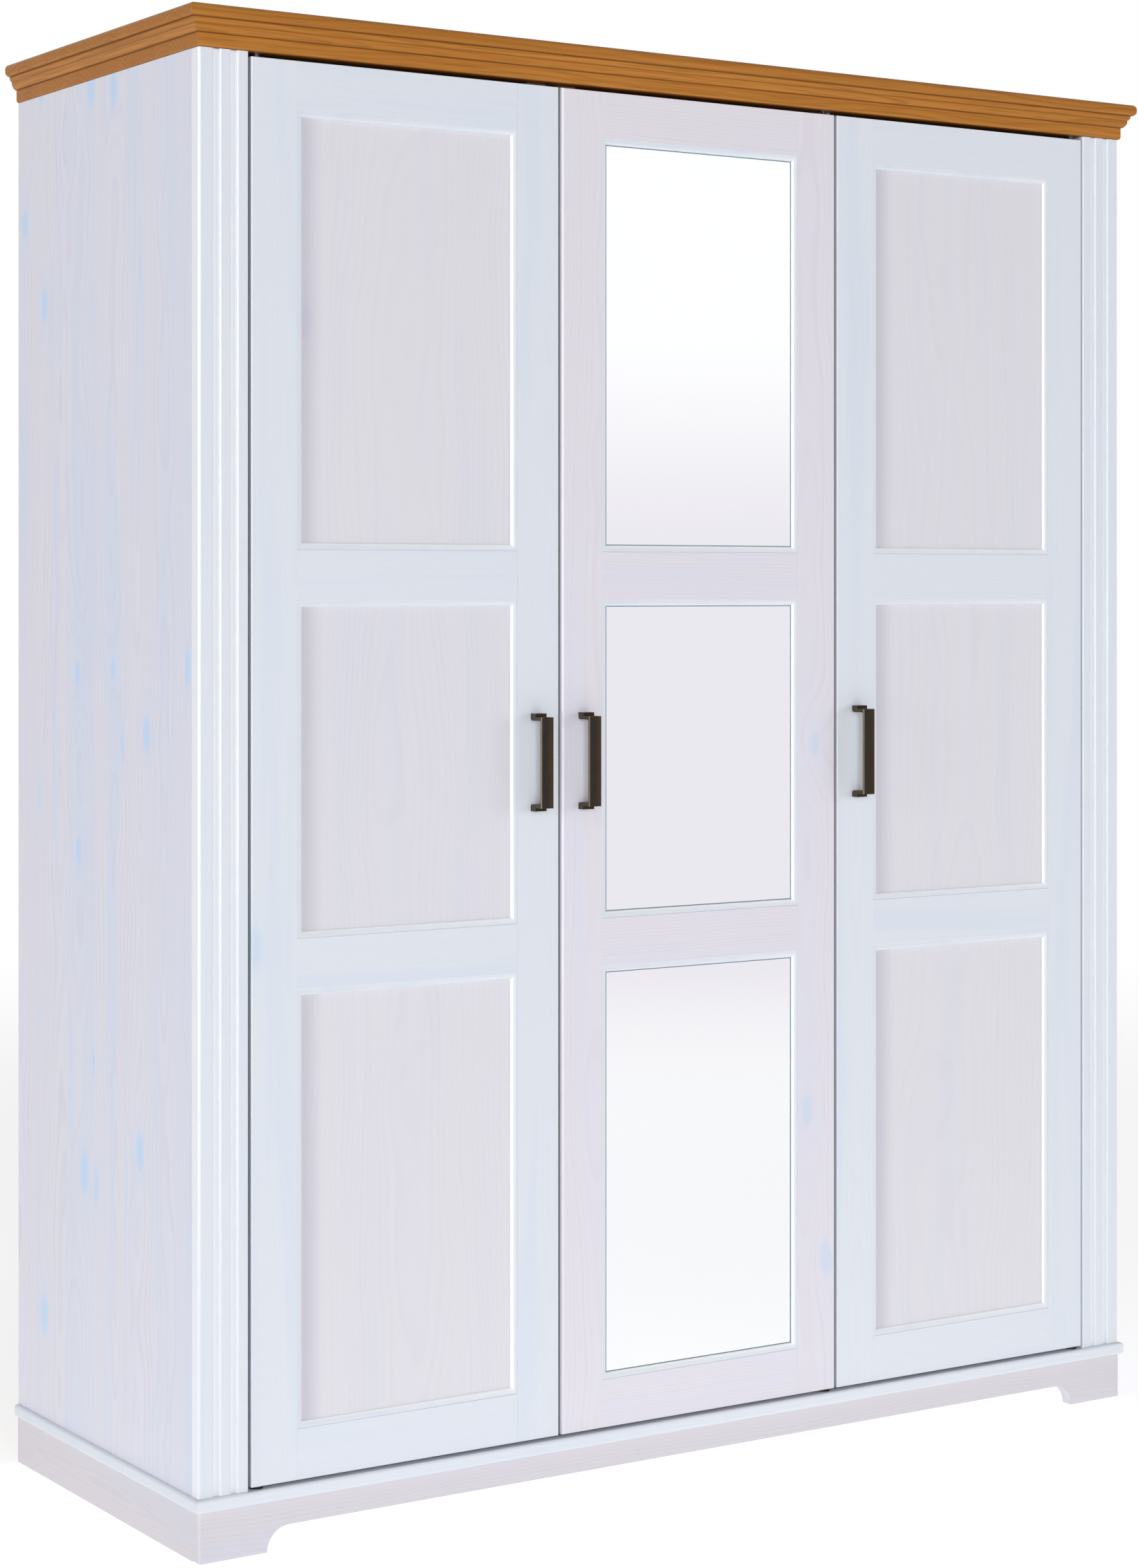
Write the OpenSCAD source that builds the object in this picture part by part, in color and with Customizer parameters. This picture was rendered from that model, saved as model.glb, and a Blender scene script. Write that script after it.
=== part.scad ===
// Three-door wardrobe in whitewashed pine with a honey-coloured crown.
// Fluted pilasters frame three inset doors: two with wooden panels, the middle one with mirrors.
// Origin: middle of the bounding box, on the floor. +Z is up and the doors face -Y.

/* [Carcass] */
// Width over the two side panels
body_w = 1580; // [1500:10:1700]
// Depth from the door faces to the back edge of the sides
body_d = 578; // [540:2:640]
// Height from the floor to the top of the crown
total_h = 2000; // [1900:10:2200]
// Thickness of the side panels and the pilasters
side_t = 20; // [18:1:22]
// Thickness of the partition, the shelves and the base board
board_t = 18; // [16:1:20]

/* [Plinth] */
// Height of the plinth skirt
plinth_h = 65; // [60:1:90]
// Thickness of the skirt boards
plinth_t = 18; // [16:1:20]
// Length of each bracket foot along the front
foot_len = 98; // [80:1:140]
// Height of the cut-out between the feet
cutout_h = 32; // [24:1:36]
// Overhang of the base board beyond the body
base_over = 6; // [3:1:10]

/* [Crown] */
// Thickness of the lower crown board, which is the top of the carcass
carcass_top_t = 18; // [16:1:22]
// Height of the crown moulding
mould_h = 18; // [17:1:24]
// Thickness of the top board
top_t = 17; // [15:1:22]
// Overhang of the lower crown board
lower_over = 3; // [2:1:4]
// Overhang of the top board
top_over = 21; // [18:1:26]

/* [Pilasters] */
// Width of each pilaster
pilaster_w = 72; // [66:1:80]
// Depth of the two grooves
groove_d = 4; // [3:0.5:5]
// Width of each groove
groove_w = 8; // [6:0.5:9]

/* [Doors] */
// Thickness of the doors
door_t = 20; // [20:1:22]
// Gap between a door and its neighbour door
mid_gap = 5; // [4:0.5:6]
// Gap between an outer door and its pilaster
side_gap = 4; // [3:0.5:4]
// Gap above the doors
top_gap = 6; // [5:0.5:8]
// Gap below the doors
low_gap = 4; // [4:0.5:6]
// Width of the stiles and the three lower rails
stile_w = 66.5; // [60:0.5:72]
// Height of the top rail
top_rail_h = 64; // [58:1:72]
// Height of the short middle opening
mid_opening_h = 442; // [380:2:480]
// Width of the panel moulding
bead_w = 9; // [7:0.5:12]
// Depth from the door face to the panels
panel_in = 5; // [4:0.5:6]
// Radius of the middle door's free front edge
door_r = 5.5; // [4:0.5:6]
// Radius of all other door edges
edge_r = 1.2; // [0.8:0.2:1.6]

/* [Handles] */
// Overall height of a handle
handle_h = 133.5; // [120:0.5:150]
// Width of a handle
handle_w = 18; // [16:1:22]
// How far a handle stands out from the door
handle_out = 30; // [28:1:34]
// Height of the handle centres above the floor
handle_z = 1014; // [950:1:1080]
// Distance from a door's free edge to its handle's centre line
handle_inset = 36.5; // [33:0.5:40]

/* [Interior] */
// Height of the hat shelf's top above the floor
hat_shelf_z = 1668; // [1600:1:1700]
// Height of the clothes rail's centre above the floor
rail_z = 1600; // [1540:1:1610]
// Number of shelves behind the right door
shelf_count = 4; // [3:1:5]

/* [Hidden] */
$fn = 48;

// Colours
paint = "#dce3ea";
lilac = "#dcd7e0";
honey = "#b4783a";
pale_wood = "#e2d3b4";
bronze = "#3c2e20";
steel = "#b8bcc0";
nylon = "#efefe8";
glass = "#e9edf2";
brown = "#5a3d22";

// Main planes
half_w = body_w / 2;
y_front = handle_out - (body_d + handle_out) / 2;
y_back = y_front + body_d;
z_base = plinth_h + board_t;
z_head = total_h - top_t - mould_h - carcass_top_t;
z_mould = z_head + carcass_top_t;
z_top = z_mould + mould_h;
inner_x = half_w - side_t;
open_x = half_w - pilaster_w;

// Doors: index 0 is the left, 1 the middle and 2 the right one
door_w = (2 * open_x - 2 * side_gap - 2 * mid_gap) / 3;
door_z0 = z_base + low_gap;
door_z1 = z_head - top_gap;
door_y1 = y_front + door_t;
side_opening_h = (door_z1 - door_z0 - top_rail_h - 3 * stile_w - mid_opening_h) / 2;
// Each opening of a door: its lower edge and its height
openings = [
    [door_z0 + stile_w, side_opening_h],
    [door_z0 + 2 * stile_w + side_opening_h, mid_opening_h],
    [door_z1 - top_rail_h - side_opening_h, side_opening_h],
];
// How far a cut runs past the face it starts from
past = 1;

// Radii of the lower and the upper edge of each profiled board
base_edge = [5, 4];
lower_edge = [4, 0];
top_edge = [6.5, 6.5];

// Depth and thickness of the groove that holds a panel
slot_in = 8;
slot_t = 9;
// Play round a panel in its groove
panel_play = 1;
mirror_t = 4;
// Panel moulding: depth of its outer edge below the door face, width of the flat along that edge
bead_drop = 0.6;
bead_flat = 0.8;

// Pilaster: the outer and the inner ridges, the radii of their edges and of the wardrobe's corner
outer_ridge_w = 22;
inner_ridge_w = (pilaster_w - outer_ridge_w - 2 * groove_w) / 2;
ridge_r = 3;
corner_r = 4;

// Crown moulding: overhang beyond the lower board, radius and height of its two quarter rounds,
// and the height of the fillet between them
mould_back = -20;
large_out = 7.3;
large_r = 11;
large_z = 9.6;
fillet_z = 11.2;
small_out = 10.6;
small_r = 5;
small_z = 16;
// How far the mitre's cutting outline reaches past the moulding
mitre_past = 2;
// Battens: width, gap where two meet, distance of the cross battens from the middle
batten_w = 34;
batten_gap = 1;
batten_x = 264;

// Pivot hinges: a pin in the door's top and bottom edge turns in a bush
pivot_in = 12;
pivot_depth = 10;
pivot_y = y_front + pivot_depth;
pin_r = 4;
pin_in_door = 12;
pin_in_bush = 8;
bush_len = 10;
bush_r = 7;
bush_play = 0.05;
bush_flange_r = 8.5;
bush_flange_t = 1;
bush_floor = 1;
collar_t = 2;

// Plinth, back and fittings
plinth_out = 1;
plinth_r = 4;
skirt_r = 3;
block_side = 40;
glide_h = 4;
glide_r = 14;
post_d = 24;
back_t = 3;
back_rebate = 6;
back_lap = 8;
sheet_gap = 1;
strip_w = 24;
strip_skin = 1.2;
strip_web = 3;
nail_head_r = 2.4;
nail_head_t = 1.2;
nail_r = 0.8;
nail_len = 14;
nail_edge = 4;
nail_end = 40;
nail_rows = 7;
nail_shares = [0.2, 0.5, 0.8];
dowel_r = 4;
dowel_low = 12;
dowel_high = 20;
dowel_end = 100;
partition_in = 26;
partition_y = y_front + partition_in;
partition_x = (door_x0(2) + door_x1(1)) / 2;
strip_x = (door_x1(0) + door_x0(1)) / 2;
shelf_in = 50;
shelf_y = y_front + shelf_in;
shelf_clear = 2;
shelf_back = y_back - back_rebate - shelf_clear;
shelf_play = 0.5;
shelf_pin_r = 2.5;
shelf_pin_in = 8;
shelf_pin_edge = 60;
rail_r = 12.5;
rail_wall = 1.2;
rail_y = (shelf_y + shelf_back) / 2;
socket_r = 19;
socket_t = 10;
socket_floor = 2;
handle_block = 9.5;
handle_step = 12.4;
handle_lip = 4.7;
handle_plate_t = 5;
handle_dish = 1.2;
handle_rim = 1;
handle_inner_r = 2;
handle_outer_r = 4;
handle_pitch = handle_h - handle_block;
screw_r = 2;
screw_play = 0.2;
screw_head_r = 4;
screw_head_h = 2.4;
screw_in_handle = 9;
catch_w = 30;
catch_h = 14;
catch_d = 14;
catch_offset = 24.5;
catch_drop = 60;
pole_x = 4;
pole_t = 2;
pole_out = 1;
pole_edge = 2;
strike_t = 1.5;
strike_gap = 0.4;
strike_edge = 1;

function door_x0(i) = -open_x + side_gap + i * (door_w + mid_gap);
function door_x1(i) = door_x0(i) + door_w;
function hinged_left(i) = i == 0;
function pivot_x(i) = hinged_left(i) ? door_x0(i) + pivot_in : door_x1(i) - pivot_in;
function free_side(i) = hinged_left(i) ? 1 : -1;
function free_edge(i) = hinged_left(i) ? door_x1(i) : door_x0(i);
function handle_x(i) = free_edge(i) - free_side(i) * handle_inset;
function shelf_z(i) = z_base + (i + 1) * (z_head - z_base) / (shelf_count + 1);

// Points of an arc from angle a0 to a1
function arc(cx, cy, r, a0, a1, n = 6) =
    [for (i = [0:n]) let (a = a0 + (a1 - a0) * i / n) [cx + r * cos(a), cy + r * sin(a)]];

// One corner of a rectangle, rounded when r is above 0
function corner(cx, cy, sx, sy, r, a0) =
    r > 0 ? arc(cx - sx * r, cy - sy * r, r, a0, a0 + 90) : [[cx, cy]];

// Rectangle with radii for its bottom left, bottom right, top right and top left corners
function round_rect(x0, y0, x1, y1, r) = concat(
    corner(x0, y0, -1, -1, r[0], 180),
    corner(x1, y0, 1, -1, r[1], 270),
    corner(x1, y1, 1, 1, r[2], 0),
    corner(x0, y1, -1, 1, r[3], 90)
);

// Outline points mirrored left to right
function mirrored(points) = [for (i = [len(points) - 1:-1:0]) [-points[i][0], points[i][1]]];

// Extrusions along each axis: the outline's axes are (y, z), (x, z) and (x, y)
module along_x(x0, x1) {
    translate([x0, 0, 0])
        rotate([90, 0, 90])
            linear_extrude(x1 - x0)
                children();
}

module along_y(y0, y1) {
    translate([0, y1, 0])
        rotate([90, 0, 0])
            linear_extrude(y1 - y0)
                children();
}

module along_z(z0, z1) {
    translate([0, 0, z0])
        linear_extrude(z1 - z0)
            children();
}

module box(low, high) {
    translate(low)
        cube(high - low);
}

// Board whose front, left and right edges are rounded: r is the lower and the upper radius
module edged_board(x0, x1, z0, z1, y0, y1, r) {
    intersection() {
        along_x(x0, x1)
            polygon(round_rect(y0, z0, y1, z1, [r[0], 0, 0, r[1]]));
        along_y(y0, y1)
            polygon(round_rect(x0, z0, x1, z1, [r[0], r[0], r[1], r[1]]));
    }
}

// Dowels that join each upright to the base board and the carcass top
module dowel_set() {
    for (x = [-half_w + side_t / 2, partition_x, half_w - side_t / 2])
        for (y = [y_front + dowel_end, y_front + body_d / 2, y_back - dowel_end]) {
            translate([x, y, z_base - dowel_low])
                cylinder(r = dowel_r, h = dowel_low + dowel_high);
            translate([x, y, z_head - dowel_high])
                cylinder(r = dowel_r, h = dowel_low + dowel_high);
        }
}

// Rebate round the back opening, which takes the back sheets
module back_recess() {
    box([-inner_x - back_lap, y_back - back_rebate, z_base - back_lap],
        [inner_x + back_lap, y_back + past, z_head + back_lap]);
}

// ---------- Carcass ----------

module side_panel(s) {
    x0 = s < 0 ? -half_w : inner_x;
    color(lilac)
        difference() {
            box([x0, y_front + side_t, z_base], [x0 + side_t, y_back, z_head]);
            back_recess();
            dowel_set();
            pin_set();
        }
}

// Plan outline of the left pilaster: three flat ridges with rounded edges and two grooves
function ridge(x0, x1, y_low) = concat(
    [[x0, y_low]],
    arc(x0 + ridge_r, y_front + ridge_r, ridge_r, 180, 270, 5),
    arc(x1 - ridge_r, y_front + ridge_r, ridge_r, 270, 360, 5),
    [[x1, y_low]]
);
ridge_x = [
    -half_w,
    -half_w + outer_ridge_w + groove_w,
    -half_w + outer_ridge_w + 2 * groove_w + inner_ridge_w,
];
pilaster_outline = concat(
    [[-half_w, y_front + side_t]],
    arc(-half_w + corner_r, y_front + corner_r, corner_r, 180, 270),
    arc(ridge_x[0] + outer_ridge_w - ridge_r, y_front + ridge_r, ridge_r, 270, 360, 5),
    [[ridge_x[0] + outer_ridge_w, y_front + groove_d]],
    ridge(ridge_x[1], ridge_x[1] + inner_ridge_w, y_front + groove_d),
    [[ridge_x[2], y_front + groove_d]],
    arc(ridge_x[2] + ridge_r, y_front + ridge_r, ridge_r, 180, 270, 5),
    arc(-open_x - ridge_r, y_front + ridge_r, ridge_r, 270, 360, 5),
    [[-open_x, y_front + side_t]]
);

module pilaster(s) {
    outline = s < 0 ? pilaster_outline : mirrored(pilaster_outline);
    color(paint)
        along_z(z_base, z_head)
            polygon(outline);
}

// Posts behind the pilasters, which stiffen the corners
module corner_posts() {
    color(pale_wood)
        for (x = [-inner_x, open_x])
            box([x, y_front + side_t, z_base],
                [x + pilaster_w - side_t, y_front + side_t + post_d, z_head]);
}

module base_board() {
    color(paint)
        difference() {
            edged_board(-half_w - base_over, half_w + base_over, plinth_h, z_base,
                y_front - base_over, y_back, base_edge);
            back_recess();
            dowel_set();
            for (i = [0:2])
                translate([pivot_x(i), pivot_y, z_base - bush_len])
                    cylinder(r = bush_r, h = bush_len + past);
        }
}

module partition() {
    color(lilac)
        difference() {
            box([partition_x - board_t / 2, partition_y, z_base],
                [partition_x + board_t / 2, y_back - back_rebate, z_head]);
            dowel_set();
            pin_set();
        }
}

// ---------- Plinth ----------

module plinth_front() {
    x = half_w + plinth_out;
    y = y_front - plinth_out;
    cut_x = half_w - foot_len - cutout_h;
    color(lilac)
        difference() {
            intersection() {
                along_z(0, plinth_h)
                    polygon(round_rect(-x, y, x, y + plinth_t, [plinth_r, plinth_r, 0, 0]));
                along_y(y, y + plinth_t)
                    polygon(round_rect(-x, 0, x, plinth_h, [skirt_r, skirt_r, 0, 0]));
            }
            box([-cut_x, y - past, -past], [cut_x, y + plinth_t + past, cutout_h]);
            for (s = [-1, 1])
                translate([s * cut_x, y + plinth_t + past, 0])
                    rotate([90, 0, 0])
                        cylinder(r = cutout_h, h = plinth_t + 2 * past);
        }
}

module plinth_side(s) {
    x = half_w + plinth_out;
    x0 = s < 0 ? -x : x - plinth_t;
    color(lilac)
        along_x(x0, x0 + plinth_t)
            polygon(round_rect(y_front - plinth_out + plinth_t, 0, y_back, plinth_h,
                [0, skirt_r, 0, 0]));
}

module plinth_back() {
    x = half_w + plinth_out - plinth_t;
    color(pale_wood)
        box([-x, y_back - plinth_t, 0], [x, y_back, plinth_h]);
}

// Centres of the corner blocks and of the two middle supports
block_x = half_w + plinth_out - plinth_t - block_side / 2;
block_y0 = y_front - plinth_out + plinth_t + block_side / 2;
block_y1 = y_back - plinth_t - block_side / 2;
block_places = [
    [-block_x, block_y0], [block_x, block_y0],
    [-block_x, block_y1], [0, block_y1], [block_x, block_y1],
    [0, y_front + body_d / 2],
];

module plinth_blocks() {
    color(pale_wood)
        for (p = block_places)
            box([p[0] - block_side / 2, p[1] - block_side / 2, glide_h],
                [p[0] + block_side / 2, p[1] + block_side / 2, plinth_h]);
}

module floor_glides() {
    color(nylon)
        for (p = block_places)
            translate([p[0], p[1], 0])
                cylinder(r = glide_r, h = glide_h);
}

// ---------- Crown ----------

module carcass_top() {
    color(honey)
        difference() {
            edged_board(-half_w - lower_over, half_w + lower_over, z_head, z_mould,
                y_front - lower_over, y_back, lower_edge);
            back_recess();
            dowel_set();
            for (i = [0:2])
                translate([pivot_x(i), pivot_y, z_head - past])
                    cylinder(r = bush_r, h = bush_len + past);
        }
}

module top_board() {
    color(honey)
        edged_board(-half_w - top_over, half_w + top_over, z_top, total_h,
            y_front - top_over, y_back, top_edge);
}

// Crown moulding section: overhang outwards and height upwards.
// A large quarter round, a short fillet and a small quarter round carry the top board.
mould_over = lower_over + small_out;
fillet_over = lower_over + large_out;
mould_section = concat(
    [[mould_back, 0], [lower_over, 0]],
    arc(fillet_over - large_r, large_z, large_r, -60, 0, 8),
    [[fillet_over, fillet_z]],
    arc(mould_over - small_r, small_z, small_r, -70, 0, 6),
    [[mould_over, mould_h], [mould_back, mould_h]]
);

// Section turned so that outwards is -Y, for a piece along the front
function outwards_front(points) = [for (p = points) [y_front - p[0], z_mould + p[1]]];
// Section turned so that outwards is +X, for a piece along the right side
function outwards_right(points) = [for (p = points) [half_w + p[0], z_mould + p[1]]];

mitre_x = half_w + mould_over + mitre_past;
mitre_y = y_front - mould_over - mitre_past;
mitre_d = mould_over + mitre_past - mould_back;

module crown_moulding_front() {
    color(honey)
        intersection() {
            along_x(-mitre_x, mitre_x)
                polygon(outwards_front(mould_section));
            along_z(z_mould, z_top)
                polygon([[-mitre_x, mitre_y], [mitre_x, mitre_y],
                    [mitre_x - mitre_d, mitre_y + mitre_d], [mitre_d - mitre_x, mitre_y + mitre_d]]);
        }
}

module crown_moulding_side(s) {
    color(honey)
        mirror([s < 0 ? 1 : 0, 0, 0])
            intersection() {
                along_y(mitre_y, y_back)
                    polygon(outwards_right(mould_section));
                along_z(z_mould, z_top)
                    polygon([[mitre_x, mitre_y], [mitre_x, y_back],
                        [mitre_x - mitre_d, y_back], [mitre_x - mitre_d, mitre_y + mitre_d]]);
            }
}

// Battens between the two crown boards, inside the moulding: one along the back, two across
module crown_spacers() {
    x = half_w + mould_back;
    back_y = y_back - batten_w;
    color(pale_wood) {
        box([-x, back_y, z_mould], [x, y_back, z_top]);
        for (s = [-1, 1])
            box([s * batten_x - batten_w / 2, y_front - mould_back, z_mould],
                [s * batten_x + batten_w / 2, back_y - batten_gap, z_top]);
    }
}

// ---------- Interior ----------

module hat_shelf() {
    color(lilac)
        box([-inner_x + shelf_play, shelf_y, hat_shelf_z - board_t],
            [partition_x - board_t / 2 - shelf_play, shelf_back, hat_shelf_z]);
}

module shelves() {
    color(lilac)
        for (i = [0:shelf_count - 1])
            box([partition_x + board_t / 2 + shelf_play, shelf_y, shelf_z(i) - board_t],
                [inner_x - shelf_play, shelf_back, shelf_z(i)]);
}

// A shelf support pin that runs along X across the face of an upright
module shelf_pin(x, y, z) {
    translate([x - shelf_pin_in, y, z])
        rotate([0, 90, 0])
            cylinder(r = shelf_pin_r, h = 2 * shelf_pin_in, $fn = 24);
}

// Every shelf support pin: two at each end of each shelf
module pin_set() {
    for (y = [shelf_y + shelf_pin_edge, shelf_back - shelf_pin_edge]) {
        for (x = [-inner_x, partition_x - board_t / 2])
            shelf_pin(x, y, hat_shelf_z - board_t - shelf_pin_r);
        for (i = [0:shelf_count - 1])
            for (x = [partition_x + board_t / 2, inner_x])
                shelf_pin(x, y, shelf_z(i) - board_t - shelf_pin_r);
    }
}

module shelf_pins() {
    color(steel)
        pin_set();
}

module clothes_rail() {
    x0 = -inner_x + socket_floor;
    x1 = partition_x - board_t / 2 - socket_floor;
    color(steel)
        translate([x0, rail_y, rail_z])
            rotate([0, 90, 0])
                difference() {
                    cylinder(r = rail_r, h = x1 - x0);
                    translate([0, 0, -past])
                        cylinder(r = rail_r - rail_wall, h = x1 - x0 + 2 * past);
                }
}

module rail_sockets() {
    for (side = [-1, 1])
        color(steel)
            translate([side < 0 ? -inner_x : partition_x - board_t / 2, rail_y, rail_z])
                rotate([0, -90 * side, 0])
                    difference() {
                        cylinder(r = socket_r, h = socket_t);
                        translate([0, 0, socket_floor])
                            cylinder(r = rail_r, h = socket_t);
                    }
}

// ---------- Back ----------

back_y0 = y_back - back_rebate;
back_y1 = back_y0 + back_t;
// Left and right edges of the three back sheets
back_edges = [
    [-inner_x - back_lap, strip_x - strip_web / 2],
    [strip_x + strip_web / 2, partition_x - sheet_gap / 2],
    [partition_x + sheet_gap / 2, inner_x + back_lap],
];

module back_sheet(i) {
    color(paint)
        box([back_edges[i][0], back_y0, z_base - back_lap],
            [back_edges[i][1], back_y1, z_head + back_lap]);
}

// Strip of H section that joins the left and middle back sheets
module back_joint_strip() {
    color(paint)
        difference() {
            box([strip_x - strip_w / 2, back_y0 - strip_skin, z_base],
                [strip_x + strip_w / 2, back_y1 + strip_skin, z_head]);
            for (s = [-1, 1])
                box([strip_x + (s < 0 ? -strip_w : strip_web / 2), back_y0, z_base - past],
                    [strip_x + (s < 0 ? -strip_web / 2 : strip_w), back_y1, z_head + past]);
        }
}

module nail(x, z) {
    translate([x, back_y1, z]) {
        rotate([-90, 0, 0])
            cylinder(r = nail_head_r, h = nail_head_t, $fn = 24);
        rotate([90, 0, 0])
            cylinder(r = nail_r, h = nail_len, $fn = 16);
    }
}

// Nails up the sheets' sides into the sides and the partition, and along their tops and bottoms
module back_nails() {
    step = (z_head - z_base - 2 * nail_end) / (nail_rows - 1);
    low_z = z_base - back_lap + nail_edge;
    high_z = z_head + back_lap - nail_edge;
    columns = [
        back_edges[0][0] + nail_edge, back_edges[1][1] - nail_edge,
        back_edges[2][0] + nail_edge, back_edges[2][1] - nail_edge,
    ];
    color(steel) {
        for (x = columns)
            for (k = [0:nail_rows - 1])
                nail(x, z_base + nail_end + k * step);
        for (edges = back_edges)
            for (share = nail_shares)
                for (z = [low_z, high_z])
                    nail(edges[0] + share * (edges[1] - edges[0]), z);
    }
}

module dowels() {
    color(pale_wood)
        dowel_set();
}

// ---------- Door fittings on the cabinet ----------

// A catch's housing with its two steel pole plates, facing -Y
module catch_body() {
    box([-catch_w / 2, pole_out, -catch_h], [catch_w / 2, catch_d, 0]);
    for (s = [-1, 1])
        box([s * pole_x - pole_t / 2, 0, pole_edge - catch_h],
            [s * pole_x + pole_t / 2, pole_out, -pole_edge]);
}

catch_y = door_y1 + strike_t + strike_gap;
right_catch_z = door_z1 - catch_drop;

module magnetic_catches() {
    color(brown) {
        for (i = [0, 1])
            translate([strip_x - free_side(i) * catch_offset, catch_y, z_head])
                catch_body();
        translate([partition_x + board_t / 2, catch_y, right_catch_z])
            rotate([0, 90, 0])
                mirror([0, 0, 1])
                    catch_body();
    }
}

module pivot_bush() {
    difference() {
        union() {
            translate([0, 0, -bush_len])
                cylinder(r = bush_r, h = bush_len);
            cylinder(r = bush_flange_r, h = bush_flange_t);
        }
        translate([0, 0, bush_floor - bush_len])
            cylinder(r = pin_r + bush_play, h = bush_len + bush_flange_t);
    }
}

module pivot_bushes() {
    color(brown)
        for (i = [0:2]) {
            translate([pivot_x(i), pivot_y, z_base])
                pivot_bush();
            translate([pivot_x(i), pivot_y, z_head])
                mirror([0, 0, 1])
                    pivot_bush();
        }
}

// ---------- Doors ----------

// Outer form of door i with all its edges eased, and the middle door's free edge well rounded
module door_shell(i) {
    plan_r = [i == 1 ? door_r : edge_r, edge_r, edge_r, edge_r];
    side_r = [edge_r, edge_r, edge_r, edge_r];
    intersection() {
        along_z(door_z0, door_z1)
            polygon(round_rect(door_x0(i), y_front, door_x1(i), door_y1, plan_r));
        along_x(door_x0(i), door_x1(i))
            polygon(round_rect(y_front, door_z0, door_y1, door_z1, side_r));
    }
}

// Grooves round the three openings of door i
module panel_slots(i, play = 0) {
    for (o = openings)
        box([door_x0(i) + stile_w - slot_in + play, y_front + panel_in, o[0] - slot_in + play],
            [door_x1(i) - stile_w + slot_in - play, y_front + panel_in + slot_t,
                o[0] + o[1] + slot_in - play]);
}

module pivot_bores(i) {
    for (z = [door_z0 - past, door_z1 - pin_in_door])
        translate([pivot_x(i), pivot_y, z])
            cylinder(r = pin_r, h = pin_in_door + past);
}

module screw_bores(i) {
    for (s = [-1, 1])
        translate([handle_x(i), door_y1 + past, handle_z + s * handle_pitch / 2])
            rotate([90, 0, 0])
                cylinder(r = screw_r + screw_play, h = door_t + 2 * past, $fn = 24);
}

// s is -1 for the left stile and 1 for the right one
module stile(i, s, tone) {
    x0 = s < 0 ? door_x0(i) : door_x1(i) - stile_w;
    color(tone)
        difference() {
            intersection() {
                door_shell(i);
                box([x0, y_front - past, door_z0 - past],
                    [x0 + stile_w, door_y1 + past, door_z1 + past]);
            }
            panel_slots(i);
            if (s == free_side(i))
                screw_bores(i);
            else
                pivot_bores(i);
        }
}

module rails(i, tone) {
    color(tone)
        difference() {
            intersection() {
                door_shell(i);
                box([door_x0(i) + stile_w, y_front - past, door_z0 - past],
                    [door_x1(i) - stile_w, door_y1 + past, door_z1 + past]);
            }
            panel_slots(i);
            for (o = openings)
                box([door_x0(i), y_front - past, o[0]],
                    [door_x1(i), door_y1 + past, o[0] + o[1]]);
        }
}

module panels(i) {
    color(lilac)
        panel_slots(i, panel_play);
}

module mirrors(i) {
    color(glass)
        intersection() {
            panel_slots(i, panel_play);
            box([-half_w, y_front, 0], [half_w, y_front + panel_in + mirror_t, total_h]);
        }
}

module mirror_backs(i) {
    color(pale_wood)
        intersection() {
            panel_slots(i, panel_play);
            box([-half_w, y_front + panel_in + mirror_t, 0], [half_w, door_y1, total_h]);
        }
}

// Ovolo section of the panel moulding: depth behind the door face, distance into the opening
bead_section = concat(
    [[panel_in, 0], [bead_drop, 0]],
    [for (k = [0:6]) let (a = 90 * k / 6)
        [panel_in - (panel_in - bead_drop) * cos(a), bead_flat + (bead_w - bead_flat) * sin(a)]]
);

// Four mitred lengths of moulding round an opening of w by h, centred on the origin
module moulding_frame(w, h) {
    for (k = [0:3]) {
        span = k % 2 == 0 ? w : h;
        drop = k % 2 == 0 ? h / 2 : w / 2;
        rotate([0, 90 * k, 0])
            translate([0, 0, -drop])
                intersection() {
                    along_x(-span / 2, span / 2)
                        polygon(bead_section);
                    along_y(0, panel_in)
                        polygon([[-span / 2, 0], [span / 2, 0],
                            [span / 2 - bead_w, bead_w], [bead_w - span / 2, bead_w]]);
                }
    }
}

module mouldings(i, tone) {
    color(tone)
        for (o = openings)
            translate([(door_x0(i) + door_x1(i)) / 2, y_front, o[0] + o[1] / 2])
                moulding_frame(door_w - 2 * stile_w, o[1]);
}

// Upper half of the handle's side outline: distance from the door, height above the centre
handle_half = concat(
    arc(handle_out - handle_plate_t - handle_inner_r, handle_h / 2 - handle_block - handle_inner_r,
        handle_inner_r, 0, 90, 4),
    arc(handle_outer_r, handle_h / 2 - handle_block + handle_outer_r, handle_outer_r, 270, 180, 5),
    [
        [0, handle_h / 2], [handle_step, handle_h / 2],
        [handle_step, handle_h / 2 - handle_lip], [handle_out, handle_h / 2 - handle_lip],
    ]
);
handle_outline = concat(
    [for (p = handle_half) [-p[0], p[1]]],
    [for (i = [len(handle_half) - 1:-1:0]) [-handle_half[i][0], -handle_half[i][1]]]
);

module handle(i) {
    dish_r = (pow(handle_w / 2 - handle_rim, 2) + pow(handle_dish, 2)) / (2 * handle_dish);
    color(bronze)
        translate([handle_x(i), y_front, handle_z])
            difference() {
                along_x(-handle_w / 2, handle_w / 2)
                    polygon(handle_outline);
                translate([0, handle_dish - handle_out - dish_r, -handle_h])
                    cylinder(r = dish_r, h = 2 * handle_h, $fn = 96);
                for (s = [-1, 1])
                    translate([0, past, s * handle_pitch / 2])
                        rotate([90, 0, 0])
                            cylinder(r = screw_r, h = screw_in_handle + past, $fn = 24);
            }
}

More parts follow.
